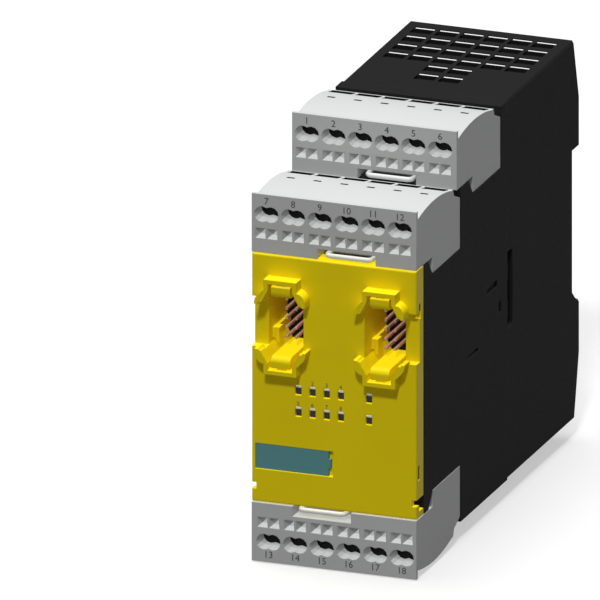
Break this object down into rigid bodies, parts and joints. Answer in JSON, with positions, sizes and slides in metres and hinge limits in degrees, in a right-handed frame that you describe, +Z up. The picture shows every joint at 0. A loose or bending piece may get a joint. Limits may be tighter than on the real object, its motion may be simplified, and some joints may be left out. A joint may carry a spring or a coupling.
{
  "type": "safety expansion module",
  "caption": "Narrow control cabinet module with a yellow front, swing-out plug-in terminal blocks, bus sockets, roof vents and a sprung rail latch.",
  "frame": {"origin": "middle of the flat seat that bears on the mounting rail", "axes": "+Z up, +Y from the front to the rail, +X to the right seen from the front"},
  "size_m": [0.045, 0.1251, 0.1113],
  "materials": {
    "housing_black": "fine textured",
    "latch_black": "smooth",
    "cover_yellow": "fine textured",
    "label_grey": "smooth",
    "terminal_grey": "fine textured",
    "screen_pale": "smooth",
    "spring_steel": "bright",
    "contact_copper": "bright",
    "tinned_pin": "bright",
    "gilt_pin": "bright",
    "board_green": "lacquered",
    "socket_black": "smooth",
    "relay_pale": "smooth",
    "guide_clear": "clear",
    "lamp_white": "smooth",
    "chip_black": "smooth",
    "capacitor_can": "bright",
    "ferrite_grey": "ground",
    "fuse_brown": "smooth",
    "screw_steel": "plated"
  },
  "bodies": {
    "housing": {"rear_housing": "housing_black", "front_housing": "housing_black", "front_cover": "cover_yellow", "label_plate": "label_grey", "vent_screen": "screen_pale", "rail_latch_spring": "spring_steel", "light_guide": "guide_clear", "indicator_lamps": "lamp_white", "front_board": "board_green", "relay_board": "board_green", "control_board": "board_green", "relay_board_socket": "socket_black", "control_board_socket": "socket_black", "relay_pins": "tinned_pin", "processors": "chip_black", "optocouplers": "chip_black", "supply_capacitors": "capacitor_can", "supply_transformer": "ferrite_grey", "supply_fuses": "fuse_brown", "board_screws": "screw_steel", "relay_1": "relay_pale", "relay_2": "relay_pale", "relay_3": "relay_pale", "relay_4": "relay_pale", "relay_5": "relay_pale", "relay_6": "relay_pale", "relay_7": "relay_pale", "relay_8": "relay_pale", "left_socket_header": "socket_black", "left_socket_pins": "gilt_pin", "right_socket_header": "socket_black", "right_socket_pins": "gilt_pin", "top_rear_plug_blades": "tinned_pin", "top_rear_contact_board": "board_green", "top_front_plug_blades": "tinned_pin", "top_front_contact_board": "board_green", "bottom_plug_blades": "tinned_pin", "bottom_contact_board": "board_green"},
    "top_rear_plug": {"top_rear_terminal_housing": "terminal_grey", "top_rear_clamp_springs": "spring_steel", "top_rear_contact_bars": "contact_copper"},
    "top_front_plug": {"top_front_terminal_housing": "terminal_grey", "top_front_clamp_springs": "spring_steel", "top_front_contact_bars": "contact_copper"},
    "bottom_plug": {"bottom_terminal_housing": "terminal_grey", "bottom_clamp_springs": "spring_steel", "bottom_contact_bars": "contact_copper"},
    "latch": {"rail_latch": "latch_black"}
  },
  "joints": [
    {"name": "top_rear_plug_swing", "type": "hinge", "parent": "housing", "child": "top_rear_plug", "pos_m": [0, -0.0547, 0.0456], "axis": [-1, 0, 0], "range_deg": [0, 12]},
    {"name": "top_front_plug_swing", "type": "hinge", "parent": "housing", "child": "top_front_plug", "pos_m": [0, -0.0848, 0.0336], "axis": [-1, 0, 0], "range_deg": [0, 12]},
    {"name": "bottom_plug_swing", "type": "hinge", "parent": "housing", "child": "bottom_plug", "pos_m": [0, -0.0848, -0.0517], "axis": [1, 0, 0], "range_deg": [0, 12]},
    {"name": "rail_latch_slide", "type": "slide", "parent": "housing", "child": "latch", "axis": [0, 0, -1], "range_m": [0, 0.0026], "stiffness_N_per_m": 600, "springref_m": -0.002, "deforming": ["rail_latch_spring"]}
  ]
}
